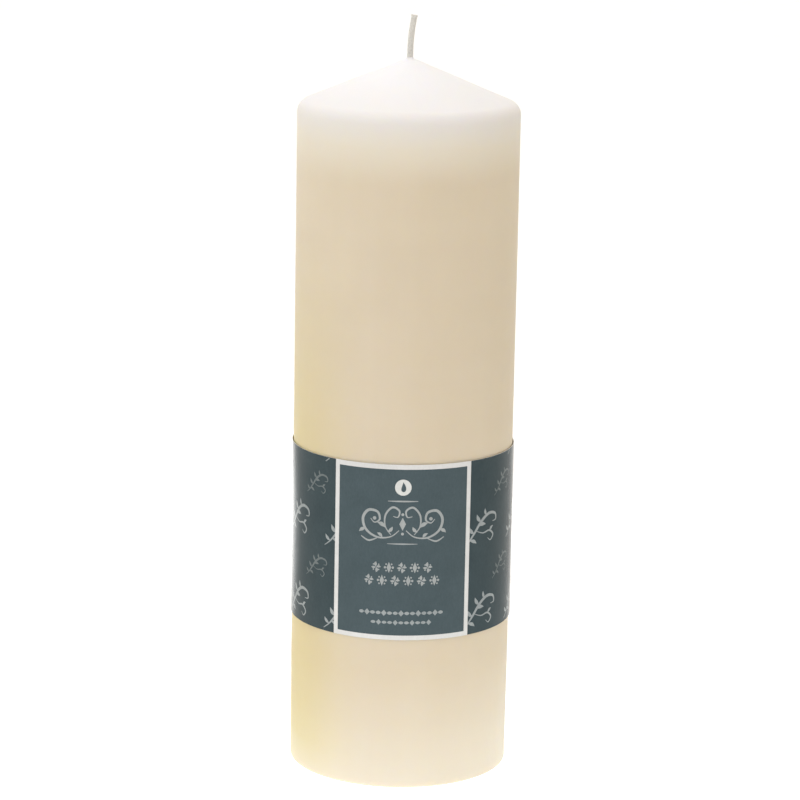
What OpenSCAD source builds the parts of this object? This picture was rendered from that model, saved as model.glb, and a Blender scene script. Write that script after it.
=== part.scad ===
// Pillar candle with a printed paper band.
// Origin at the centre of the flat base, +Z up, millimetres.
// The front of the label faces -Y and the lap seam of the band is at the back.

/* [Wax body] */
// Diameter of the pillar
candle_d = 78; // [60:1:100]
// Height of the wax, from the flat base to the tip of the cone
candle_h = 252.4; // [200:0.4:320]
// Slope of the conical top, from the horizontal
cone_angle = 22.5; // [15:0.5:30]
// Radius that rounds the shoulder between the cone and the side
shoulder_r = 5; // [2:0.5:6]
// Radius that rounds the tip of the cone
tip_r = 9; // [5:0.5:14]
// Radius that rounds the edge of the base
base_edge_r = 0.8; // [0.5:0.1:1]
// Thickness of the ivory coat that is dipped over the pressed core
coat_t = 1.6; // [1:0.1:1.8]

/* [Wick] */
// Diameter of the braided wick
wick_d = 2.4; // [1.6:0.1:3.2]
// Length of wick that stands out of the wax
wick_out = 15; // [8:0.2:25]
// Radius of the gentle bend in the wick's free end
wick_bend_r = 70; // [40:5:120]

/* [Wick sustainer] */
// Diameter of the tinned disc
disc_d = 20; // [15:1:25]
// Thickness of the disc and of its neck's wall
disc_t = 0.3; // [0.2:0.05:0.5]
// Height of the neck that is crimped round the wick
neck_h = 8; // [5:0.5:12]
// Depth of the disc's lower face above the base of the candle
disc_recess = 1; // [0.5:0.1:2]

/* [Paper band] */
// Height of the lower edge of the band above the base
band_z = 54.4; // [20:0.2:80]
// Height of the band
band_h = 62.7; // [30:0.1:90]
// Thickness of the band's paper
paper_t = 0.2; // [0.1:0.02:0.3]
// Clearance between the wax and the band, all round
band_gap = 0.2; // [0.1:0.05:0.5]
// Angle that the band's outer end laps over its inner end
lap_angle = 18; // [10:1:30]
// Thickness of the adhesive strip in the lap
tape_t = 0.06; // [0.04:0.01:0.1]
// Angle that the adhesive strip covers
tape_angle = 9; // [5:1:9]

/* [Front label] */
// Angle that the front label covers
label_angle = 72.4; // [40:0.2:90]
// Thickness of the front label
label_t = 0.12; // [0.08:0.02:0.2]

/* [Hidden] */
$fn = 180;

eps = 0.02;                          // how far cutting tools pass the face they cut
candle_r = candle_d / 2;
core_r = candle_r - coat_t;
wick_bore_r = wick_d / 2;

// Sharp apex of the cone: the rounding takes the tip down to candle_h
apex_z = candle_h + tip_r * (1 / cos(cone_angle) - 1);
// The rounding arc leaves the cone's straight flank at this radius
tip_tangent_r = tip_r * sin(cone_angle);
tip_centre_z = candle_h - tip_r;

// Centre of the shoulder's rounding arc, tangent to the side and to the cone
shoulder_x = candle_r - shoulder_r;
shoulder_z = apex_z - shoulder_x * tan(cone_angle) - shoulder_r / cos(cone_angle);
// Where that arc meets the cone's flank
shoulder_top_x = shoulder_x + shoulder_r * sin(cone_angle);
shoulder_top_z = shoulder_z + shoulder_r * cos(cone_angle);

// Wick: straight up out of the wax, then one arc to its free end
straight_share = 0.1;                // share of the free length that stands straight
bend_z = candle_h + wick_out * straight_share;
wick_lean = asin((candle_h + wick_out - bend_z) / wick_bend_r);
foot_out = 0.4;                      // the cut foot stands this far below the disc
wick_z = disc_recess - foot_out;

// Sustainer
neck_or = wick_d / 2 + disc_t;       // outer radius of the neck
disc_pocket_r = disc_d / 2 + 0.2;    // pocket that holds the disc in the base

// The band is rolled as a two-centre spiral: its left half is centred on the
// candle and its right half on a point behind, so that after one turn the
// paper has moved out by its own thickness and the adhesive's.
turn_growth = paper_t + tape_t;
right_centre = turn_growth / 2;      // how far behind the candle's axis that point is
left_r = candle_r + band_gap;        // inner radius of the left half
right_r = left_r + turn_growth / 2;  // inner radius of the right half
lap_r = left_r + turn_growth;        // inner radius of the lap
seam_at = 90;                        // the lap seam starts at the back, on +Y
front_at = 270;                      // the middle of the front label, on -Y
tape_inset = 1;                      // angle between the adhesive and the lap's end

// Outline of a wax body of the given side radius, from the axis outwards.
// The whole outline is shrunk by "inset" from the outside of the candle.
module wax_outline(inset) {
    // Below the shoulder: the side
    square([candle_r - inset, shoulder_z]);
    // The rounding of the shoulder
    translate([shoulder_x, shoulder_z]) circle(r = shoulder_r - inset);
    // Under the cone's flank, as far in as the tip's rounding
    polygon([
        [0, shoulder_z - shoulder_r],
        [shoulder_x, shoulder_z - shoulder_r],
        [
            shoulder_top_x - inset * sin(cone_angle),
            shoulder_top_z - inset * cos(cone_angle)
        ],
        [
            tip_tangent_r - inset * sin(cone_angle),
            tip_centre_z + (tip_r - inset) * cos(cone_angle)
        ],
        [0, tip_centre_z + (tip_r - inset) * cos(cone_angle)]
    ]);
    // The rounding of the tip
    intersection() {
        translate([0, tip_centre_z]) circle(r = tip_r - inset);
        square([tip_r, candle_h]);
    }
}

// Half of the outline of the finished candle, its base edge rounded
module candle_outline() {
    difference() {
        wax_outline(0);
        translate([candle_r - base_edge_r, -eps]) square([base_edge_r + eps, base_edge_r + eps]);
    }
    translate([candle_r - base_edge_r, base_edge_r]) circle(r = base_edge_r);
}

// The hole that the wick fills, through the whole wax body
module wick_bore() {
    translate([0, 0, -eps]) cylinder(r = wick_bore_r, h = candle_h + 2 * eps);
}

// Pressed core: white wax with the wick's bore and the sustainer's pocket
module wax_core() {
    color("#f4f0e4")
    difference() {
        rotate_extrude() wax_outline(coat_t);
        wick_bore();
        translate([0, 0, -eps]) cylinder(r = disc_pocket_r, h = disc_recess + disc_t + eps);
        translate([0, 0, -eps]) cylinder(r = neck_or, h = disc_recess + neck_h + eps);
    }
}

// Dipped coat: an ivory skin over the side and the cone, open at the base
module wax_coat() {
    color("#ead9b8")
    difference() {
        rotate_extrude() difference() {
            candle_outline();
            translate([0, -eps]) square([core_r, shoulder_z]);
            wax_outline(coat_t);
        }
        wick_bore();
    }
}

// Braided wick: from the sustainer to the tip, its free end leaning towards +X
module wick() {
    color("#ddd8cf") {
        translate([0, 0, wick_z]) cylinder(d = wick_d, h = bend_z - wick_z);
        translate([wick_bend_r, 0, bend_z])
        rotate([90, 0, 180])
        rotate_extrude(angle = wick_lean)
        translate([wick_bend_r, 0])
        circle(d = wick_d);
    }
}

// Tinned steel sustainer: a disc with a neck crimped round the wick's foot
module wick_sustainer() {
    color("#c9cbcd")
    translate([0, 0, disc_recess])
    difference() {
        union() {
            cylinder(d = disc_d, h = disc_t);
            cylinder(r = neck_or, h = neck_h);
        }
        translate([0, 0, -eps]) cylinder(d = wick_d, h = neck_h + 2 * eps);
    }
}

// A curved sheet as tall as the band. Its centre is "behind" the candle's axis.
module sheet(behind, inner_r, thickness, start, sweep) {
    translate([0, behind, band_z])
    rotate([0, 0, start])
    rotate_extrude(angle = sweep)
    translate([inner_r, 0])
    square([thickness, band_h]);
}

// Paper band: once round the candle and a lap over its own inner end
module paper_band() {
    color("#4a5557") {
        sheet(0, left_r, paper_t, seam_at, 180);
        sheet(right_centre, right_r, paper_t, front_at, 180);
        sheet(0, lap_r, paper_t, seam_at, lap_angle);
    }
}

// Adhesive strip that closes the lap
module seam_tape() {
    color("#e8e4d8")
    sheet(0, left_r + paper_t, tape_t, seam_at + lap_angle - tape_angle - tape_inset, tape_angle);
}

// Front label: stuck to the band, as tall as the band
module front_label() {
    color("#dfe1e0") {
        sheet(0, left_r + paper_t, label_t, front_at, -label_angle / 2);
        sheet(right_centre, right_r + paper_t, label_t, front_at, label_angle / 2);
    }
}

wax_core();
wax_coat();
wick();
wick_sustainer();
paper_band();
seam_tape();
front_label();
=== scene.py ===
"""Ivory pillar candle with a printed paper band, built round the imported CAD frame.

Shapes are worked out in millimetres and turned into metres when a mesh is made.
Angles round the candle are in degrees: 0 is +X, 90 is the back (+Y) and 270 the front (-Y).
"""
import math

import bpy
from mathutils import Matrix, Vector, noise


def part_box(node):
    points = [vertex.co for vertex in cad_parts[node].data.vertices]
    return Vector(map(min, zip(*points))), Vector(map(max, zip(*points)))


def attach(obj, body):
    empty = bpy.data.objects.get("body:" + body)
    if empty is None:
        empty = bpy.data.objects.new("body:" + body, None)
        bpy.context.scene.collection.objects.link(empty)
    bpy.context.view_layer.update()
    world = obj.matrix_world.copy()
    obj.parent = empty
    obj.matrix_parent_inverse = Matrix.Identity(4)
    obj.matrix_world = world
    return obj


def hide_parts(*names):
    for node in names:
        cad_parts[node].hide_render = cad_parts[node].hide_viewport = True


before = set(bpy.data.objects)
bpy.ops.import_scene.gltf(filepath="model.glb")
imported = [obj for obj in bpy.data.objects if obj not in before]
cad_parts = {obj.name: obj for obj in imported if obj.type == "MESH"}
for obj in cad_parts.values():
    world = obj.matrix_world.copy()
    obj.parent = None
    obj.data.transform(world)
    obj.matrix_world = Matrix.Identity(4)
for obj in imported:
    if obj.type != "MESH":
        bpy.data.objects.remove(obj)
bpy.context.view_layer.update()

MM = 0.001

# ---------------------------------------------------------------------------
# Sizes, from the frame where it holds them
# ---------------------------------------------------------------------------


def box_mm(node):
    """Lowest and highest corner of a CAD node, in millimetres."""
    low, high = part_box(node)
    return Vector(low) / MM, Vector(high) / MM


coat_low, coat_high = box_mm("wax_coat")
core_low, core_high = box_mm("wax_core")
wick_low, wick_high = box_mm("wick")
disc_low, disc_high = box_mm("wick_sustainer")
band_low, band_high = box_mm("paper_band")

CANDLE_R = (coat_high.x - coat_low.x) / 2
CANDLE_H = 252.4                # wax, to the rounded tip
CORE_R = (core_high.x - core_low.x) / 2
CONE_SLOPE = math.radians(22.5)
SHOULDER_R = 5.0
TIP_R = 9.0                     # rounding of the tip, and of the base's edge below
BASE_EDGE_R = 0.8
WAX_SEGMENTS = 288              # round the candle

WICK_R = (wick_high.y - wick_low.y) / 2
WICK_BEND_R = 70.0              # the gentle bend of the free end
WICK_STRAIGHT = 1.5             # the free end stands straight this far above the wax
WICK_FLAT = 0.74                # the braid is pressed to this share of its width

BAND_Z = band_low.z
BAND_H = band_high.z - band_low.z
BAND_GAP = 0.2                  # between the wax and the paper
PAPER_T = 0.2
TAPE_T = 0.06
LABEL_T = 0.12
INK_T = 0.02                    # raised ink of the print
TURN_GROWTH = PAPER_T + TAPE_T  # the roll grows by this much in one turn
ROLL_R = CANDLE_R + BAND_GAP

BACK, FRONT = 90.0, 270.0
LAP = 18.0                      # the outer end of the band laps this far over the inner end
TAPE_ANGLE = 9.0                # the adhesive strip, which stops short of the paper's edges
TAPE_INSET = 0.6
LABEL_ANGLE = 72.4
BORDER = 1.65                   # white border of the front label
BAND_SHINE = 0.06               # the band's paper is duller than the label's
SHEET_TURN = 1.5                # widest facets of the paper, round the candle in degrees
SHEET_RISE = 3.2                # and up it


# ---------------------------------------------------------------------------
# Mesh helpers
# ---------------------------------------------------------------------------


def make_object(name, verts, faces, materials, face_slots=None, smooth=True):
    """A mesh object from points in millimetres."""
    mesh = bpy.data.meshes.new(name)
    mesh.from_pydata([Vector(v) * MM for v in verts], [], faces)
    for material in materials:
        mesh.materials.append(material)
    if face_slots:
        mesh.polygons.foreach_set("material_index", face_slots)
    mesh.polygons.foreach_set("use_smooth", [smooth] * len(mesh.polygons))
    mesh.validate()
    obj = bpy.data.objects.new(name, mesh)
    bpy.context.scene.collection.objects.link(obj)
    return obj


def add_piece(obj, body, slot, *nodes):
    """Hangs a piece on the body it rides on and hides the CAD nodes it stands for; its finish is
    not used.
    """
    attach(obj, body)
    if nodes:
        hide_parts(*nodes)


def arc(cx, cz, r, start, end, count):
    """Points of an arc in the (radius, height) plane, from one angle to another in degrees."""
    points = []
    for i in range(count + 1):
        a = math.radians(start + (end - start) * i / count)
        points.append((cx + r * math.cos(a), cz + r * math.sin(a)))
    return points


def line(start, end, count):
    """Points along a straight line, without its first one."""
    return [
        tuple(a + (b - a) * i / count for a, b in zip(start, end))
        for i in range(1, count + 1)
    ]


def lathe(profile, segments, shift):
    """A closed body turned from a profile that starts and ends on the axis.

    shift(angle, r, z) gives each point's final (r, z).
    """
    verts = [(0, 0, profile[0][1])]
    inner = profile[1:-1]
    for r, z in inner:
        for i in range(segments):
            a = 2 * math.pi * i / segments
            new_r, new_z = shift(a, r, z)
            verts.append((new_r * math.cos(a), new_r * math.sin(a), new_z))
    verts.append((0, 0, profile[-1][1]))
    last = len(verts) - 1
    top = last - segments
    faces = []
    for i in range(segments):
        j = (i + 1) % segments
        faces.append((0, 1 + j, 1 + i))
        faces.append((last, top + i, top + j))
    for row in range(len(inner) - 1):
        low = 1 + row * segments
        high = low + segments
        for i in range(segments):
            j = (i + 1) % segments
            faces.append((low + i, low + j, high + j, high + i))
    return verts, faces


def turned_ring(profile, segments, shift):
    """A ring turned from a closed profile that stays off the axis."""
    verts = []
    count = len(profile)
    for i in range(segments):
        a = 2 * math.pi * i / segments
        for r, z in profile:
            new_r, new_z = shift(a, r, z)
            verts.append((new_r * math.cos(a), new_r * math.sin(a), new_z))
    faces = []
    for i in range(segments):
        here, there = i * count, (i + 1) % segments * count
        for k in range(count):
            m = (k + 1) % count
            faces.append((here + k, there + k, there + m, here + m))
    return verts, faces


def tube(verts, faces, rings):
    """Adds a closed tube through rings of points that all have the same count."""
    first = len(verts)
    sides = len(rings[0])
    for ring in rings:
        verts.extend(ring)
    for n in range(len(rings) - 1):
        low = first + n * sides
        for k in range(sides):
            m = (k + 1) % sides
            faces.append((low + k, low + m, low + sides + m, low + sides + k))
    faces.append(tuple(first + k for k in reversed(range(sides))))
    top = first + (len(rings) - 1) * sides
    faces.append(tuple(top + k for k in range(sides)))


# ---------------------------------------------------------------------------
# Materials
# ---------------------------------------------------------------------------


class Shader:
    """A material made of nodes: a Principled shader and what feeds it."""

    def __init__(self, name, **fixed):
        self.material = bpy.data.materials.new(name)
        self.material.use_nodes = True
        self.tree = self.material.node_tree
        self.bsdf = self.tree.nodes["Principled BSDF"]
        for socket, value in fixed.items():
            self.bsdf.inputs[socket.replace("_", " ")].default_value = value
        self.place = self.node("ShaderNodeTexCoord").outputs["Object"]

    def node(self, kind, **settings):
        made = self.tree.nodes.new(kind)
        for key, value in settings.items():
            setattr(made, key, value)
        return made

    def join(self, source, target):
        self.tree.links.new(source, target)

    def stretched(self, scale):
        """The object's own coordinates, scaled along each axis."""
        mapping = self.node("ShaderNodeMapping")
        mapping.inputs["Scale"].default_value = scale
        self.join(self.place, mapping.inputs["Vector"])
        return mapping.outputs["Vector"]

    def noise(self, scale, detail=4.0, roughness=0.55, stretch=(1, 1, 1)):
        made = self.node("ShaderNodeTexNoise")
        made.inputs["Scale"].default_value = scale
        made.inputs["Detail"].default_value = detail
        made.inputs["Roughness"].default_value = roughness
        self.join(self.stretched(stretch), made.inputs["Vector"])
        return made.outputs["Fac"]

    def cells(self, scale, feature="F1"):
        made = self.node("ShaderNodeTexVoronoi", feature=feature)
        made.inputs["Scale"].default_value = scale
        self.join(self.place, made.inputs["Vector"])
        return made.outputs["Distance"]

    def ramp(self, value, *stops):
        """A colour ramp between two stops, each a (position, colour)."""
        made = self.node("ShaderNodeValToRGB")
        for element, (position, colour) in zip(made.color_ramp.elements, stops):
            element.position = position
            element.color = (*colour, 1)
        self.join(value, made.inputs["Fac"])
        return made.outputs["Color"]

    def spread(self, value, low, high, from_low=0.3, from_high=0.7, curve="LINEAR"):
        """Maps a value, by default a texture in its usual range, onto another range."""
        made = self.node("ShaderNodeMapRange", interpolation_type=curve)
        for socket, number in zip(
            ("From Min", "From Max", "To Min", "To Max"), (from_low, from_high, low, high)
        ):
            made.inputs[socket].default_value = number
        self.join(value, made.inputs["Value"])
        return made.outputs["Result"]

    def math(self, kind, a, b):
        made = self.node("ShaderNodeMath", operation=kind)
        for socket, value in zip(made.inputs, (a, b)):
            if isinstance(value, (int, float)):
                socket.default_value = value
            else:
                self.join(value, socket)
        return made.outputs["Value"]

    def blend(self, factor, a, b, kind="MIX"):
        """Mixes two colours; each is a socket or an (r, g, b)."""
        made = self.node("ShaderNodeMix", data_type="RGBA", blend_type=kind)
        if isinstance(factor, (int, float)):
            made.inputs["Factor"].default_value = factor
        else:
            self.join(factor, made.inputs["Factor"])
        for socket, value in ((made.inputs[6], a), (made.inputs[7], b)):
            if isinstance(value, tuple):
                socket.default_value = (*value, 1)
            else:
                self.join(value, socket)
        return made.outputs[2]

    def bump(self, height, distance, under=None):
        """A bump of the given height in metres, on top of another one."""
        made = self.node("ShaderNodeBump")
        made.inputs["Strength"].default_value = 1.0
        made.inputs["Distance"].default_value = distance
        self.join(height, made.inputs["Height"])
        if under:
            self.join(under, made.inputs["Normal"])
        return made.outputs["Normal"]

    def feed(self, colour, roughness, normal=None):
        """Joins the textures to the shader, and gives back the finished material."""
        self.join(colour, self.bsdf.inputs["Base Color"])
        self.join(roughness, self.bsdf.inputs["Roughness"])
        if normal:
            self.join(normal, self.bsdf.inputs["Normal"])
        return self.material


def painted_warm_light_mask(s, x, y, z):
    """How much painted warm light the wax gets: low down on its left, and more faintly round its
    back.
    """
    front_half = s.math(
        "MULTIPLY",
        s.spread(x, 1.0, 0.0, -0.041, -0.012, "SMOOTHSTEP"),
        s.spread(y, 1.0, 0.0, 0.0, 0.02),
    )
    back_half = s.math(
        "MULTIPLY",
        s.spread(x, 1.0, 0.0, -0.041, 0.03),
        s.spread(y, 1.0, 0.5, 0.0, 0.03, "SMOOTHSTEP"),
    )
    back_half = s.math("MULTIPLY", back_half, s.spread(y, 0.0, 1.0, -0.01, 0.0))
    warm_light = s.math("MAXIMUM", front_half, back_half)
    warm_light = s.math("MULTIPLY", warm_light, s.spread(z, 0.85, 0.0, 0.100, 0.205, "SMOOTHSTEP"))
    # The painted warm light is weaker at the very base
    return s.math("MULTIPLY", warm_light, s.spread(z, 0.3, 1.0, 0.0, 0.012))


def wax_coat_material():
    """Dipped ivory wax: satin, slightly translucent, faintly banded and mottled, with a painted
    highlight whitening the cone, painted bounce light paling the base and painted warm light low on
    its left.
    """
    s = Shader(
        "dipped_wax",
        Subsurface_Weight=0.5,
        Subsurface_Radius=(1.0, 0.72, 0.36),
        Subsurface_Scale=0.0035,
        IOR=1.44,
        Specular_IOR_Level=0.1,
    )
    clouds = s.noise(28, detail=5)
    bands = s.noise(60, detail=3, stretch=(0.05, 0.05, 1))
    streaks = s.noise(70, detail=3, stretch=(1, 1, 0.04))
    colour = s.ramp(clouds, (0.30, (0.566, 0.496, 0.382)), (0.70, (0.592, 0.524, 0.410)))
    colour = s.blend(s.spread(bands, 0.0, 0.35), colour, (0.61, 0.55, 0.44))
    colour = s.blend(s.spread(streaks, 0.0, 0.18), colour, (0.53, 0.445, 0.31))
    axes = s.node("ShaderNodeSeparateXYZ")
    s.join(s.place, axes.inputs[0])
    height = axes.outputs["Z"]
    # Painted highlight: each step from under the shoulder up to the tip is whiter, standing in for
    # the strong light from above; the base is paler with painted bounce light
    cream, white = (0.640, 0.599, 0.507), (0.648, 0.638, 0.630)
    whitest, pale = (0.695, 0.700, 0.720), (0.652, 0.628, 0.566)
    warm_light_tint = (0.945, 0.92, 0.62)
    colour = s.blend(s.spread(height, 0.0, 1.0, 0.211, 0.2285, "SMOOTHSTEP"), colour, cream)
    colour = s.blend(s.spread(height, 0.0, 1.0, 0.2255, 0.2360), colour, white)
    colour = s.blend(s.spread(height, 0.0, 1.0, 0.2360, 0.2524), colour, whitest)
    # Painted bounce light: the wax is paled over its lowest 40 mm, most at the base
    colour = s.blend(s.spread(height, 0.5, 0.0, 0.0, 0.040), colour, pale)
    # Painted warm light: the wax is tinted yellow low on its left and faintly round its back
    warm_light = painted_warm_light_mask(s, axes.outputs["X"], axes.outputs["Y"], height)
    colour = s.blend(warm_light, colour, s.blend(1.0, colour, warm_light_tint, "MULTIPLY"))
    grain = s.noise(900, detail=3)
    dimples = s.noise(180, detail=4)
    roughness = s.spread(s.noise(120, detail=6), 0.42, 0.56)
    normal = s.bump(bands, 0.00012)
    normal = s.bump(dimples, 0.00010, under=normal)
    normal = s.bump(grain, 0.00002, under=normal)
    return s.feed(colour, roughness, normal)


def wax_core_material():
    """Pressed granulated wax: white grains fused together."""
    s = Shader(
        "pressed_wax",
        Subsurface_Weight=1.0,
        Subsurface_Radius=(1.0, 0.8, 0.55),
        Subsurface_Scale=0.003,
        IOR=1.44,
    )
    grains = s.cells(700)
    edges = s.cells(700, feature="DISTANCE_TO_EDGE")
    colour = s.ramp(grains, (0.1, (0.93, 0.905, 0.83)), (0.6, (0.84, 0.80, 0.70)))
    colour = s.blend(s.spread(s.noise(60), 0.0, 0.4), colour, (0.90, 0.86, 0.75))
    roughness = s.spread(s.noise(500), 0.5, 0.75)
    normal = s.bump(s.spread(edges, 0, 1, 0, 0.12), 0.00015)
    return s.feed(colour, roughness, normal)


def cotton_material():
    """Waxed cotton yarn."""
    s = Shader("waxed_cotton", Sheen_Weight=0.25, Coat_Weight=0.12, Coat_Roughness=0.4,
               Subsurface_Weight=0.4, Subsurface_Radius=(1.0, 0.9, 0.75), Subsurface_Scale=0.0006)
    fibres = s.noise(5200, detail=3, stretch=(1, 1, 0.22))
    colour = s.ramp(fibres, (0.3, (0.51, 0.495, 0.455)), (0.7, (0.74, 0.73, 0.69)))
    colour = s.blend(s.spread(s.noise(420), 0.0, 0.5), colour, (0.65, 0.625, 0.56))
    return s.feed(colour, s.spread(s.noise(2000), 0.55, 0.85), s.bump(fibres, 0.00006))


def steel_material():
    """Tinned steel: pale, with the fine lines of its rolling and small stains."""
    s = Shader("tinned_steel", Metallic=1.0)
    brushed = s.noise(1600, detail=4, stretch=(1, 0.15, 1))
    colour = s.ramp(s.noise(260, detail=5), (0.3, (0.60, 0.60, 0.59)), (0.7, (0.78, 0.78, 0.77)))
    roughness = s.spread(brushed, 0.22, 0.42)
    return s.feed(colour, roughness, s.bump(brushed, 0.00002))


def paper_material(name, dark, light, roughness=(0.11, 0.18), shine=0.18):
    """Coated paper with an even print, its fibres just showing through."""
    s = Shader(name, Specular_IOR_Level=shine)
    fibres = s.noise(1500, detail=5, roughness=0.7, stretch=(1, 1, 0.5))
    clouds = s.noise(90, detail=3)
    mottle = s.math("ADD", s.math("MULTIPLY", fibres, 0.5), s.math("MULTIPLY", clouds, 0.5))
    colour = s.ramp(mottle, (0.36, dark), (0.64, light))
    gloss = s.spread(s.noise(700, detail=4), *roughness)
    normal = s.bump(clouds, 0.00012)
    normal = s.bump(fibres, 0.000025, under=normal)
    return s.feed(colour, gloss, normal)


def adhesive_material():
    """Dried hot-melt adhesive, cloudy and yellowish."""
    s = Shader("adhesive", Subsurface_Weight=0.5, Subsurface_Scale=0.001)
    cloud = s.noise(300)
    colour = s.ramp(cloud, (0.3, (0.74, 0.68, 0.52)), (0.7, (0.86, 0.82, 0.70)))
    return s.feed(colour, s.spread(cloud, 0.3, 0.5), s.bump(cloud, 0.0001))


# ---------------------------------------------------------------------------
# Wax
# ---------------------------------------------------------------------------


def wax_profile():
    """Half outline of the coat, from the axis inside the base to the axis at the tip."""
    slope = CONE_SLOPE
    apex = CANDLE_H + TIP_R * (1 / math.cos(slope) - 1)
    shoulder_x = CANDLE_R - SHOULDER_R
    shoulder_z = apex - shoulder_x * math.tan(slope) - SHOULDER_R / math.cos(slope)
    degrees = math.degrees(slope)
    pocket_r = disc_high.x + 0.6
    pocket_top = disc_low.z + 1.0
    lip = 0.3                                # how far the closed base lies above the core's base
    inner_r = CORE_R + 0.03
    points = [(0, pocket_top), (pocket_r - 0.5, pocket_top), (pocket_r, lip), (CORE_R - 4, lip)]
    points += [(inner_r, lip), (inner_r, 0.0)]
    points += arc(CANDLE_R - BASE_EDGE_R, BASE_EDGE_R, BASE_EDGE_R, -90, 0, 6)
    points += line(points[-1], (CANDLE_R, shoulder_z), 210)
    points += arc(shoulder_x, shoulder_z, SHOULDER_R, 0, 90 - degrees, 12)[1:]
    tip_start = arc(0, CANDLE_H - TIP_R, TIP_R, 90 - degrees, 90, 8)
    points += line(points[-1], tip_start[0], 48)
    points += tip_start[1:-1]
    # Wax drawn up round the wick as a small collar
    collar_w, collar_h = 0.9, 0.8
    collar_r = WICK_R + collar_w
    collar_z = CANDLE_H - 0.35
    kept = [p for p in points if p[0] > collar_r + 0.2 or p[1] < CANDLE_H / 2]
    rise = [
        (collar_r - collar_w * t, collar_z + collar_h * t * t)
        for t in (0.0, 0.25, 0.5, 0.75, 1.0)
    ]
    return kept + rise + [(0, collar_z + collar_h)]


def wax_shift(angle, r, z):
    """The small unevenness of dipped wax. It only takes wax away."""
    if z < CANDLE_H / 2 and (r < CORE_R or z < BASE_EDGE_R / 2):
        return r, z
    c, s = math.cos(angle), math.sin(angle)
    swell = 0.5 + 0.5 * noise.noise(Vector((c * 1.3, s * 1.3, z / 55)))
    dents = 0.5 + 0.5 * noise.noise(Vector((c * 5, s * 5, z / 8 + 7)))
    rings = 0.5 + 0.5 * noise.noise(Vector((c * 0.4, s * 0.4, z / 2.6 + 31)))
    ringed = math.exp(-(((z - 205) / 22) ** 2))       # the side is most banded near the top
    depth = 0.07 * swell + 0.035 * dents + (0.02 + 0.04 * ringed) * rings
    if z > CANDLE_H - 20:
        # The cone and the shoulder are a little rougher: wax ran and set here
        runs = 0.5 + 0.5 * noise.noise(Vector((c * 7, s * 7, r / 14)))
        soft = 0.5 + 0.5 * noise.noise(Vector((c * 2.2, s * 2.2, r / 9 + 3)))
        fade = min(1.0, max(0.0, (r - WICK_R - 0.5) / 6))
        down = fade * (0.10 * runs + 0.22 * soft)
        return r - depth * 0.8, z - down
    return r - depth, z


def build_wax(material):
    verts, faces = lathe(wax_profile(), WAX_SEGMENTS, wax_shift)
    obj = make_object("dipped_wax_coat", verts, faces, [material])
    add_piece(obj, "candle", "coat_wax", "wax_coat")


# ---------------------------------------------------------------------------
# Wick and sustainer
# ---------------------------------------------------------------------------


def wick_point(z):
    """Centre of the wick and its tangent angle, at a distance z along it from the base plane."""
    bend = CANDLE_H + WICK_STRAIGHT
    if z <= bend:
        return Vector((0, 0, z)), 0.0
    a = (z - bend) / WICK_BEND_R
    rise = WICK_BEND_R * math.sin(a)
    return Vector((WICK_BEND_R * (1 - math.cos(a)), 0, bend + rise)), a


def wick_place(z, across, deep):
    """A point of the wick's cross-section: across lies in the plane of the bend."""
    centre, a = wick_point(z)
    return centre + Vector((math.cos(a), 0, -math.sin(a))) * across + Vector((0, 1, 0)) * deep


def wick_levels():
    """Distances along the wick: wide apart inside the wax, close where it shows."""
    z = wick_low.z
    top = CANDLE_H + WICK_STRAIGHT + WICK_BEND_R * math.asin(
        (wick_high.z - 0.15 - CANDLE_H - WICK_STRAIGHT) / WICK_BEND_R
    )
    levels = []
    while z < top:
        levels.append(z)
        z += 0.55 if z < CANDLE_H - 6 else 0.14
    return levels + [top]


def build_wick(material):
    """A braid of eight yarns round a core, pressed a little flat."""
    yarns, turn = 4, 7.0                     # yarns each way, and the length of one turn
    yarn_r, ride_r, weave = 0.30, 0.80, 0.09
    yarn_sides = 7
    core_r, core_sides = 0.74, 8
    levels = wick_levels()
    top = levels[-1]
    verts, faces = [], []
    core = [
        [wick_place(z, core_r * math.cos(a), core_r * WICK_FLAT * math.sin(a))
         for a in (2 * math.pi / core_sides * k for k in range(core_sides))]
        for z in levels[::3] + [top - 0.25]
        if z <= top - 0.2
    ]
    tube(verts, faces, core)
    for way in (1, -1):
        for n in range(yarns):
            rings = []
            for z in levels:
                phase = 2 * math.pi * z / turn
                a = 2 * math.pi * n / yarns + way * phase + (0 if way > 0 else math.pi / yarns)
                out = ride_r + way * weave * math.sin(yarns * phase)
                out += 0.16 * max(0.0, (z - top + 1.0)) ** 2      # the cut end opens a little
                plump = yarn_r * (1 + 0.10 * noise.noise(Vector((n * 3.1, way * 5.3, z * 0.9))))
                ring = []
                for k in range(yarn_sides):
                    b = 2 * math.pi * k / yarn_sides
                    radial = out + plump * 0.8 * math.cos(b)
                    turned = a + plump * 1.25 * math.sin(b) / out
                    ring.append(wick_place(
                        z, radial * math.cos(turned), WICK_FLAT * radial * math.sin(turned)
                    ))
                rings.append(ring)
            tube(verts, faces, rings)
    obj = make_object("braided_wick", verts, faces, [material])
    add_piece(obj, "candle", "cotton", "wick")


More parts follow.
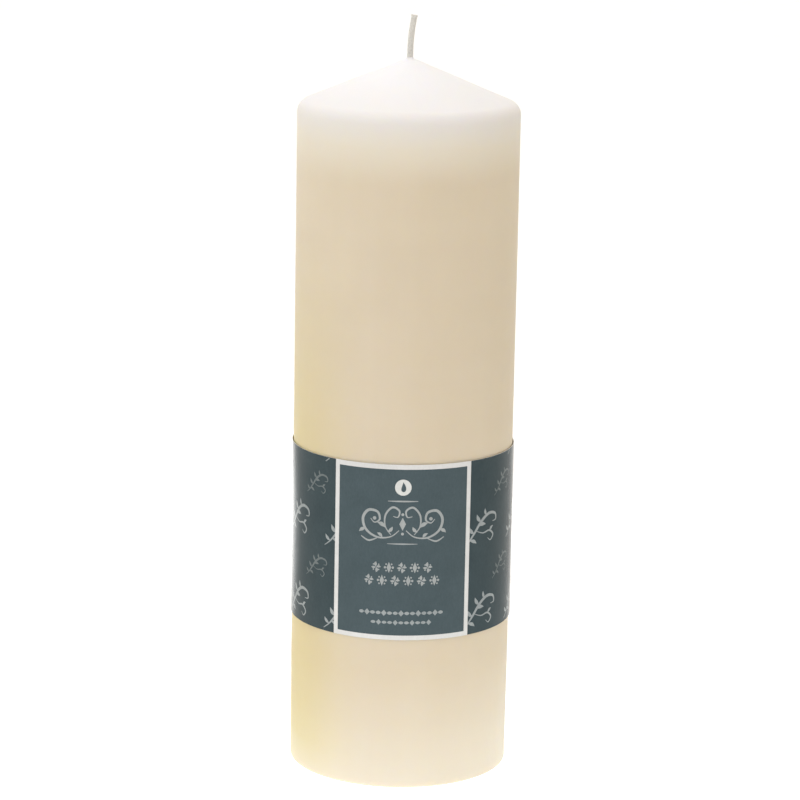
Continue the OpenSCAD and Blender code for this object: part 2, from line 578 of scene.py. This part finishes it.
def build_fibres(material):
    """Loose ends of cotton at the wick's cut tip and along it."""
    at_tip, along = 12, 14                   # how many there are
    golden_angle = 2.399
    root_r, fibre_r = 0.85, 0.035
    verts, faces = [], []
    top = wick_levels()[-1]
    for n in range(at_tip + along):
        a = n * golden_angle
        tip = n < at_tip
        z = top - 0.1 if tip else CANDLE_H + 2.5 + (n - at_tip) * 0.95
        length = 0.35 + 0.45 * abs(noise.noise(Vector((n * 1.7, 0.3, 0.9)))) * 2
        rise = 0.15 if tip else 0.55
        rings = []
        for step in range(5):
            t = step / 4
            out = root_r + length * t * (0.35 if tip else 0.8)
            lift = rise * t * t if tip else length * t * rise
            r = fibre_r * (1 - 0.7 * t)
            swing = a + 0.5 * t
            centre = wick_place(
                z + lift, out * math.cos(swing), WICK_FLAT * out * math.sin(swing)
            )
            rings.append([
                centre + Vector((r * math.cos(b), r * math.sin(b), 0))
                for b in (2 * math.pi * k / 3 for k in range(3))
            ])
        tube(verts, faces, rings)
    obj = make_object("wick_fibres", verts, faces, [material])
    add_piece(obj, "candle", "cotton")


def build_sustainer(material):
    """Stamped disc with a stiffening bead and a neck crimped round the wick's foot."""
    low, high = disc_low.z, disc_high.z
    rim_r = disc_high.x
    sheet = 0.3
    bore = WICK_R
    profile = [(bore, high)]
    profile += [(bore, low + 0.25), (bore + 0.25, low)]
    profile += [(4.6, low), (5.0, low - 0.14), (5.8, low - 0.14), (6.2, low), (rim_r - 0.5, low)]
    profile += [(rim_r - 0.1, low + 0.08), (rim_r, low + 0.15), (rim_r - 0.1, low + sheet)]
    profile += [(6.4, low + sheet), (5.9, low + sheet - 0.14), (4.9, low + sheet - 0.14)]
    profile += [(4.4, low + sheet), (bore + sheet + 0.5, low + sheet), (bore + sheet, low + 0.8)]
    profile += [(bore + sheet, low + 3.0), (bore + sheet, low + 5.0), (bore + sheet, high)]

    def crimp(angle, r, z):
        """Four dents round the middle of the neck."""
        if abs(z - low - 4.0) < 1.5 and r < 2.5:
            return r - 0.12 * max(0.0, math.cos(4 * angle)), z
        return r, z

    verts, faces = turned_ring(profile, 96, crimp)
    obj = make_object("stamped_sustainer", verts, faces, [material])
    add_piece(obj, "candle", "tinned_steel", "wick_sustainer")


# ---------------------------------------------------------------------------
# Paper
# ---------------------------------------------------------------------------


def ripple(angle, height):
    """How far the paper stands off its true roll, in millimetres."""
    a = math.radians(angle)
    v = height / BAND_H
    edge = (2 * v - 1) ** 4
    slow = noise.noise(Vector((math.cos(a) * 1.6, math.sin(a) * 1.6, height / 30)))
    quick = noise.noise(Vector((math.cos(a) * 5, math.sin(a) * 5, 9 + height / 45)))
    return 0.045 * slow + 0.05 * edge * quick


def on_roll(angle, height, lift):
    """A point of the rolled band: lift is counted outwards from the paper's inner face."""
    growth = TURN_GROWTH / 2
    behind, radius = 0.0, ROLL_R
    if angle > BACK + 360:
        radius += 2 * growth
    elif angle > FRONT:
        behind, radius = growth, ROLL_R + growth
    a = math.radians(angle)
    r = radius + lift + ripple(angle, height)
    return Vector((r * math.cos(a), behind + r * math.sin(a), BAND_Z + height))


def spaced(start, end, step):
    """Values from start to end, evenly spaced and at most step apart."""
    count = max(1, math.ceil((end - start) / step))
    return [start + (end - start) * i / count for i in range(count + 1)]


def sheet_mesh(angles, heights, low_lift, high_lift, slot_of=None):
    """A curved sheet of paper. Slot 0 is its printed face, 1 its cut edges and back."""
    verts = []
    rows, cols = len(heights), len(angles)
    for lift in (low_lift, high_lift):
        for h in heights:
            for a in angles:
                verts.append(on_roll(a, h, lift))
    faces, slots = [], []
    outer = rows * cols
    for i in range(rows - 1):
        for j in range(cols - 1):
            k = i * cols + j
            faces.append((k + 1, k, k + cols, k + cols + 1))
            slots.append(1)
            faces.append((outer + k, outer + k + 1, outer + k + cols + 1, outer + k + cols))
            slots.append(slot_of(j, i) if slot_of else 0)
    top = (rows - 1) * cols
    for j in range(cols - 1):
        faces.append((j, j + 1, outer + j + 1, outer + j))
        faces.append((top + j + 1, top + j, outer + top + j, outer + top + j + 1))
        slots += [1, 1]
    for i in range(rows - 1):
        k = i * cols
        faces.append((k + cols, k, outer + k, outer + k + cols))
        m = k + cols - 1
        faces.append((m, m + cols, outer + m + cols, outer + m))
        slots += [1, 1]
    return verts, faces, slots


def paper_piece(name, materials, *shape):
    """A sheet as an object, with its folds at the cut edges kept sharp."""
    verts, faces, slots = sheet_mesh(*shape)
    obj = make_object(name, verts, faces, materials, slots)
    obj.data.set_sharp_from_angle(angle=math.radians(40))
    return obj


def build_band(ink, cut):
    angles = spaced(BACK, FRONT, SHEET_TURN) + spaced(FRONT, BACK + 360, SHEET_TURN)[1:]
    angles += spaced(BACK + 360, BACK + 360 + LAP, SHEET_TURN)[1:]
    obj = paper_piece("printed_band", [ink, cut], angles, spaced(0, BAND_H, SHEET_RISE), 0, PAPER_T)
    add_piece(obj, "sleeve", "band_paper", "paper_band")


def build_seam(material):
    end = BACK + LAP - 1
    angles = spaced(end - TAPE_ANGLE, end, SHEET_TURN)
    heights = spaced(TAPE_INSET, BAND_H - TAPE_INSET, SHEET_RISE)
    faces = [material, material]
    obj = paper_piece("seam_adhesive", faces, angles, heights, PAPER_T, PAPER_T + TAPE_T)
    add_piece(obj, "sleeve", "adhesive", "seam_tape")


def build_label(panel, white):
    """The front label: white paper with a dark panel printed inside an even border."""
    label_r = ROLL_R + PAPER_T + LABEL_T
    border = math.degrees(BORDER / label_r)
    left, right = FRONT - LABEL_ANGLE / 2, FRONT + LABEL_ANGLE / 2
    angles = [left] + spaced(left + border, FRONT, SHEET_TURN)
    angles += spaced(FRONT, right - border, SHEET_TURN)[1:] + [right]
    heights = [0] + spaced(BORDER, BAND_H - BORDER, SHEET_RISE) + [BAND_H]

    def slot_of(j, i):
        edge = j in (0, len(angles) - 2) or i in (0, len(heights) - 2)
        return 1 if edge else 0

    obj = paper_piece(
        "white_bordered_label", [panel, white], angles, heights, PAPER_T, PAPER_T + LABEL_T, slot_of
    )
    add_piece(obj, "sleeve", "label_paper", "front_label")


# ---------------------------------------------------------------------------
# Print: plain ornaments of raised ink, in millimetres across and up the paper
# ---------------------------------------------------------------------------


def curve_through(points):
    """A smooth curve through points (Catmull-Rom)."""
    per_span = 10
    padded = [points[0]] + list(points) + [points[-1]]
    out = []
    for i in range(len(points) - 1):
        p0, p1, p2, p3 = padded[i:i + 4]
        for k in range(per_span):
            t = k / per_span
            out.append(tuple(
                0.5 * (2 * b + (c - a) * t + (2 * a - 5 * b + 4 * c - d) * t * t
                       + (3 * b - a - 3 * c + d) * t ** 3)
                for a, b, c, d in zip(p0, p1, p2, p3)
            ))
    return out + [points[-1]]


class Print:
    """Collects bars of ink and wraps them onto the rolled band."""

    margin = 0.15                                # ink stays this far from the paper's long edges
    widest_facet = 0.8

    def __init__(self, lift, low_angle, high_angle, centre_angle):
        self.lift = lift
        self.limits = low_angle, high_angle
        self.centre = centre_angle
        self.verts, self.faces, self.slots = [], [], []
        self.radius = ROLL_R + lift
        self.layer = 0                           # ink printed over other ink lies a layer higher

    def inside(self, u, v):
        angle = self.centre + math.degrees(u / self.radius)
        in_height = self.margin < v < BAND_H - self.margin
        return in_height and self.limits[0] < angle < self.limits[1]

    def wrap(self, u, v, height):
        lift = self.lift + self.layer * INK_T + height
        return on_roll(self.centre + math.degrees(u / self.radius), v, lift)

    def bar(self, path, widths, slot):
        """A stroke along a path, its width changing from point to point."""
        across = max(1, math.ceil(max(widths) / self.widest_facet))
        run = []
        for i, (u, v) in enumerate(path):
            before, after = path[max(0, i - 1)], path[min(len(path) - 1, i + 1)]
            du, dv = after[0] - before[0], after[1] - before[1]
            length = math.hypot(du, dv) or 1.0
            nu, nv = -dv / length * widths[i] / 2, du / length * widths[i] / 2
            if self.inside(u + nu, v + nv) and self.inside(u - nu, v - nv):
                sides = [2 * k / across - 1 for k in range(across + 1)]
                under = [self.wrap(u + nu * k, v + nv * k, 0) for k in sides]
                over = [self.wrap(u + nu * k, v + nv * k, INK_T) for k in reversed(sides)]
                run.append(under + over)
                continue
            self.close(run, slot)
            run = []
        self.close(run, slot)

    def close(self, run, slot):
        if len(run) > 1:
            before = len(self.faces)
            tube(self.verts, self.faces, run)
            self.slots += [slot] * (len(self.faces) - before)

    def stroke(self, points, widest, thin, slot, place=(0, 0), flip=1):
        """A pen stroke: thin at both ends and swelling to its widest in the middle."""
        path = [(place[0] + flip * u, place[1] + v) for u, v in curve_through(points)]
        last = len(path) - 1
        widths = [
            thin + (widest - thin) * math.sin(math.pi * i / last) ** 1.5
            for i in range(last + 1)
        ]
        self.bar(path, widths, slot)

    def leaf(self, u, v, length, turn, fat, slot, flip=1):
        """A pointed leaf growing from (u, v)."""
        count = 12
        path, widths = [], []
        for i in range(count + 1):
            t = i / count
            bend = 0.12 * length * math.sin(math.pi * t)
            along = length * t
            path.append((
                u + flip * (along * math.cos(turn) - bend * math.sin(turn)),
                v + along * math.sin(turn) + bend * math.cos(turn),
            ))
            widths.append(0.05 + fat * length * math.sin(math.pi * t) ** 1.2)
        self.bar(path, widths, slot)

    def disc(self, u, v, r, slot):
        count = 16
        path = [(u, v - r * math.cos(math.pi * i / count)) for i in range(count + 1)]
        widths = [max(0.04, 2 * r * math.sin(math.pi * i / count)) for i in range(count + 1)]
        self.bar(path, widths, slot)

    def lozenge(self, u, v, half_w, half_h, slot):
        count = 10
        path = [(u, v - half_h + 2 * half_h * i / count) for i in range(count + 1)]
        widths = [max(0.04, 2 * half_w * (1 - abs(2 * i / count - 1))) for i in range(count + 1)]
        self.bar(path, widths, slot)

    def rule(self, u, v, length, width, slot):
        count = 24
        path = [(u - length / 2 + length * i / count, v) for i in range(count + 1)]
        widths = [width * (0.35 + 0.65 * math.sin(math.pi * i / count)) for i in range(count + 1)]
        self.bar(path, widths, slot)

    def build(self, name, materials, slot_name):
        obj = make_object(name, self.verts, self.faces, materials, self.slots, smooth=False)
        add_piece(obj, "sleeve", slot_name)


def scroll_work(p, v):
    """A mirrored pair of leafy scrolls round a lozenge, about 29 mm wide and 12 mm tall."""
    for flip in (1, -1):
        main = [(1.2, -2.6), (4.2, -4.9), (8.8, -5.2), (12.8, -2.8), (14.0, 1.2), (12.0, 4.2),
                (8.8, 3.8), (8.0, 1.2), (9.8, 0.0), (11.2, 1.3)]
        p.stroke(main, 0.98, 0.28, 1, (0, v), flip)
        inner = [(4.0, -4.2), (6.0, -1.2), (6.0, 2.8), (3.6, 5.6),
                 (1.2, 4.4), (1.6, 2.2), (3.3, 2.4)]
        p.stroke(inner, 0.72, 0.24, 1, (0, v), flip)
        p.stroke([(8.6, -5.4), (11.8, -6.6), (14.6, -5.2)], 0.6, 0.26, 1, (0, v), flip)
        for u, rise, length, turn in (
            (6.1, -1.6, 3.2, 0.55), (5.2, -3.2, 2.6, 2.3),
            (12.9, -2.4, 2.8, -0.5), (7.0, -5.2, 2.4, 0.7),
        ):
            p.leaf(flip * u, v + rise, length, turn, 0.42, 1, flip)
        p.disc(flip * 9.8, v + 1.5, 0.62, 1)
    p.lozenge(0, v - 0.3, 1.15, 2.3, 1)
    p.disc(0, v + 3.1, 0.5, 1)
    p.disc(0, v - 3.8, 0.5, 1)


def sprig(p, u, v, size, slot):
    """A leafy sprig with a curled tip, rising to the right."""

    def at(points):
        return [(u + size * x, v + size * y) for x, y in points]

    stem = [(-8.0, -6.4), (-5.4, -4.4), (-2.6, -1.2), (0.8, 2.8),
            (4.6, 5.0), (8.2, 4.4), (8.8, 2.2), (6.8, 1.8)]
    p.stroke(at(stem), 1.1 * size, 0.24 * size, slot)
    tendril = [(-1.8, -0.4), (1.6, -1.6), (5.0, -1.2), (7.2, -3.0), (5.8, -4.8), (4.2, -3.8)]
    p.stroke(at(tendril), 0.65 * size, 0.2 * size, slot)
    for x, y, turn, length in (
        (-5.4, -4.4, 2.4, 3.0), (-4.6, -3.6, -0.4, 3.4), (-2.6, -1.2, 2.3, 3.6),
        (-0.6, 1.2, 0.05, 3.6), (0.6, 2.6, 2.2, 3.6), (3.4, 4.5, 1.9, 2.8), (5.2, -1.5, 0.7, 2.6),
    ):
        p.leaf(*at([(x, y)])[0], length * size, turn, 0.36, slot)


def flame_medallion(p, v):
    """A white medallion with a dark flame on it, over a short rule."""
    p.disc(0, v, 2.85, 0)
    count = 20
    path = [
        (0.2 * math.sin(math.pi * i / count), v - 1.6 + 3.5 * i / count)
        for i in range(count + 1)
    ]
    widths = [
        max(0.05, 4.6 * math.sqrt(i / count) * (1 - i / count) ** 1.15)
        for i in range(count + 1)
    ]
    p.layer = 1
    p.bar(path, widths, 3)
    p.layer = 0
    p.rule(0, v - 4.9, 10.5, 0.55, 1)


def rosette_row(p, v, count, pitch):
    """Four-petalled rosettes and lozenges with side drops, turn about, 3.9 tall."""
    for i in range(count):
        u = (i - (count - 1) / 2) * pitch
        if i % 2:
            p.lozenge(u, v, 0.8, 1.95, 1)
            for side in (-1, 1):
                p.disc(u + side * 1.35, v, 0.42, 1)
                p.disc(u + side * 0.95, v + 1.15, 0.30, 1)
                p.disc(u + side * 0.95, v - 1.15, 0.30, 1)
        else:
            for turn, length in ((0, 1.7), (0.5, 1.95), (1, 1.7), (1.5, 1.95)):
                a = turn * math.pi
                p.leaf(u + 0.1 * math.cos(a), v + 0.1 * math.sin(a), length - 0.1, a, 0.52, 1)
            for turn in (0.25, 0.75, 1.25, 1.75):
                a = turn * math.pi
                p.disc(u + 1.3 * math.cos(a), v + 1.3 * math.sin(a), 0.26, 1)


def fine_row(p, v, count, pitch, size):
    """A row of small lozenges and dashes."""
    start = -(count - 1) / 2 * pitch
    for i in range(count):
        u = start + i * pitch
        if i % 3 == 1:
            p.lozenge(u, v, size * 0.5, size * 0.55, 2)
        else:
            p.rule(u, v, pitch * 0.84, size * 0.6, 2)


def build_label_print(inks):
    edge = LABEL_ANGLE / 2 - 3.5
    p = Print(PAPER_T + LABEL_T, FRONT - edge, FRONT + edge, FRONT)
    flame_medallion(p, 54.7)
    scroll_work(p, 42.0)
    p.rule(0, 34.6, 10.5, 0.5, 2)
    rosette_row(p, 26.1, 5, 4.5)
    rosette_row(p, 21.4, 6, 4.6)
    fine_row(p, 9.7, 15, 2.0, 2.0)
    fine_row(p, 6.3, 11, 1.95, 1.8)
    p.build("label_print", inks, "label_paper")


def build_band_print(inks):
    """Sprigs in staggered rows all round the band, turn about bold and faint."""
    start, end = BACK + LAP, BACK + 360 + LAP
    p = Print(PAPER_T, start, end, FRONT)
    # The paper is cut from printed stock, so the pattern doesn't close at the seam
    around = 10
    pitch = 2 * math.pi * p.radius / (around - 0.35)
    for row, v in enumerate((7.5, 22.5, 37.5, 52.5, 67.5)):
        faint = row % 2
        size = 0.66 if faint else 1.0
        for i in range(-around // 2 - 1, around // 2 + 2):
            u = (i + faint / 2) * pitch + 4.0
            sprig(p, u, v, size, faint)
    p.build("band_print", inks, "band_paper")


# ---------------------------------------------------------------------------
# Studio, in metres
# ---------------------------------------------------------------------------

# The surroundings' colour from left to right, and their strength from the horizon up
WORLD_SIDES = ((0.67, 0.645, 0.545), (0.94, 0.92, 0.96), (0.235, 0.168, 0.015))
WORLD_STRENGTH = (1.34, 1.75)
# Pools of light under the white floor: centre, colour, and the distances over which each fades
TABLE_GLOW = (
    ((0.012, -0.02, 0), (0.74, 0.78, 0.78), 0.045, 0.14),
    ((-0.12, 0.33, 0), (2.6, 2.6, 2.6), 0.05, 0.20),
    ((-0.16, -0.01, 0), (0.10, 0.04, 0), 0.03, 0.20),
    ((0.15, -0.03, 0), (0.35, 0.42, 0.50), 0.04, 0.16),
)


def build_floor():
    """A white sweep: a floor that curves up far behind the candle, lit from beneath."""
    s = Shader("white_sweep", Specular_IOR_Level=0.1, Emission_Strength=1.0)
    grain = s.noise(40, detail=3)
    colour = s.ramp(grain, (0.3, (0.93, 0.93, 0.93)), (0.7, (0.95, 0.95, 0.95)))
    s.feed(colour, s.spread(grain, 0.8, 0.9))
    glow = (0, 0, 0)
    for centre, tint, near, far in TABLE_GLOW:
        apart = s.node("ShaderNodeVectorMath", operation="DISTANCE")
        s.join(s.place, apart.inputs[0])
        apart.inputs[1].default_value = centre
        pool = s.spread(apart.outputs["Value"], 1.0, 0.0, near, far)
        glow = s.blend(pool, glow, s.blend(1.0, glow, tint, "ADD"))
    s.join(glow, s.bsdf.inputs["Emission Color"])
    half, bend, wall = 9000.0, 3000.0, 6000.0       # millimetres
    steps = 16
    section = [(-half, 0.0), (half - bend, 0.0)]
    section += [
        (half - bend + bend * math.sin(a), bend - bend * math.cos(a))
        for a in (math.pi / 2 * k / steps for k in range(1, steps + 1))
    ]
    section += [(half, wall)]
    verts = [(x, y, z) for x in (-half, half) for y, z in section]
    n = len(section)
    faces = [(i, n + i, n + i + 1, i + 1) for i in range(n - 1)]
    floor = make_object("studio_floor", verts, faces, [s.material])


def area_light(name, place, target, size, watts):
    data = bpy.data.lights.new(name, "AREA")
    data.shape = "RECTANGLE"
    data.size, data.size_y = size
    data.energy = watts
    lamp = bpy.data.objects.new(name, data)
    lamp.location = place
    lamp.rotation_euler = (Vector(target) - Vector(place)).to_track_quat("-Z", "Y").to_euler()
    lamp.visible_camera = False
    bpy.context.scene.collection.objects.link(lamp)


def build_world():
    """A white studio: dimmer at its sides, most and warmest on the right, brighter overhead."""
    world = bpy.data.worlds.new("studio")
    world.use_nodes = True
    nodes, links = world.node_tree.nodes, world.node_tree.links
    way = nodes.new("ShaderNodeSeparateXYZ")
    links.new(nodes.new("ShaderNodeTexCoord").outputs["Generated"], way.inputs[0])
    sideways = nodes.new("ShaderNodeValToRGB")
    sideways.color_ramp.elements.new(0.5)
    for element, colour in zip(sideways.color_ramp.elements, WORLD_SIDES):
        element.color = (*colour, 1)
    half = nodes.new("ShaderNodeMath")
    half.operation = "MULTIPLY_ADD"
    half.inputs[1].default_value = half.inputs[2].default_value = 0.5
    links.new(way.outputs["X"], half.inputs[0])
    links.new(half.outputs["Value"], sideways.inputs["Fac"])
    links.new(sideways.outputs["Color"], nodes["Background"].inputs["Color"])
    upwards = nodes.new("ShaderNodeMapRange")
    upwards.inputs["To Min"].default_value, upwards.inputs["To Max"].default_value = WORLD_STRENGTH
    links.new(way.outputs["Z"], upwards.inputs["Value"])
    links.new(upwards.outputs["Result"], nodes["Background"].inputs["Strength"])
    bpy.context.scene.world = world


def build_lights():
    build_world()
    area_light("top_softbox", (0.18, 0.0, 0.9), target=(0, 0, 0), size=(0.5, 0.5), watts=1.15)
    area_light("front_fill", (-0.5, -1.2, 0.5), target=(0, 0, 0.12), size=(0.6, 0.6), watts=1.5)


def build_camera():
    """A low telephoto view of the label, looking a little down, and rolled by a degree."""
    data = bpy.data.cameras.new("camera")
    data.sensor_width = 36.0
    data.lens = 135.08
    data.shift_x = -0.0047
    camera = bpy.data.objects.new("camera", data)
    round_angle = math.radians(-0.6)
    away, height = 1.0407, 0.3616
    pitch, roll = math.radians(12.482), math.radians(1.066)
    place = Vector((away * math.sin(round_angle), -away * math.cos(round_angle), height))
    turn = (
        Matrix.Rotation(round_angle, 4, "Z")
        @ Matrix.Rotation(math.pi / 2 - pitch, 4, "X")
        @ Matrix.Rotation(roll, 4, "Z")
    )
    camera.matrix_world = Matrix.Translation(place) @ turn
    data.clip_start, data.clip_end = 0.05, 60
    bpy.context.scene.collection.objects.link(camera)
    bpy.context.scene.camera = camera


def main():
    bpy.context.scene.view_settings.view_transform = "Standard"
    build_camera()
    build_floor()
    build_lights()

    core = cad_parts["wax_core"]
    core.data.materials.clear()
    core.data.materials.append(wax_core_material())

    build_wax(wax_coat_material())
    cotton = cotton_material()
    build_wick(cotton)
    build_fibres(cotton)
    build_sustainer(steel_material())

    cut = paper_material("paper_cut", (0.70, 0.70, 0.68), (0.82, 0.82, 0.80), (0.7, 0.9))
    white = paper_material("label_white", (0.54, 0.55, 0.55), (0.61, 0.62, 0.62))
    band_ink = paper_material(
        "band_ground", (0.037, 0.055, 0.062), (0.047, 0.068, 0.076), shine=BAND_SHINE
    )
    panel_ink = paper_material("panel_ground", (0.047, 0.071, 0.081), (0.058, 0.085, 0.097))
    build_band(band_ink, cut)
    build_seam(adhesive_material())
    build_label(panel_ink, white)

    bright = paper_material("ink_white", (0.52, 0.54, 0.53), (0.60, 0.62, 0.61))
    pale = paper_material("ink_pale", (0.26, 0.285, 0.29), (0.33, 0.355, 0.36))
    faint = paper_material("ink_faint", (0.23, 0.26, 0.27), (0.30, 0.33, 0.34))
    build_label_print([bright, pale, faint, panel_ink])
    band_pale = paper_material(
        "band_ink_pale", (0.23, 0.26, 0.27), (0.31, 0.34, 0.35), shine=BAND_SHINE
    )
    band_faint = paper_material(
        "band_ink_faint", (0.11, 0.135, 0.14), (0.15, 0.175, 0.18), shine=BAND_SHINE
    )
    build_band_print([band_pale, band_faint])


main()
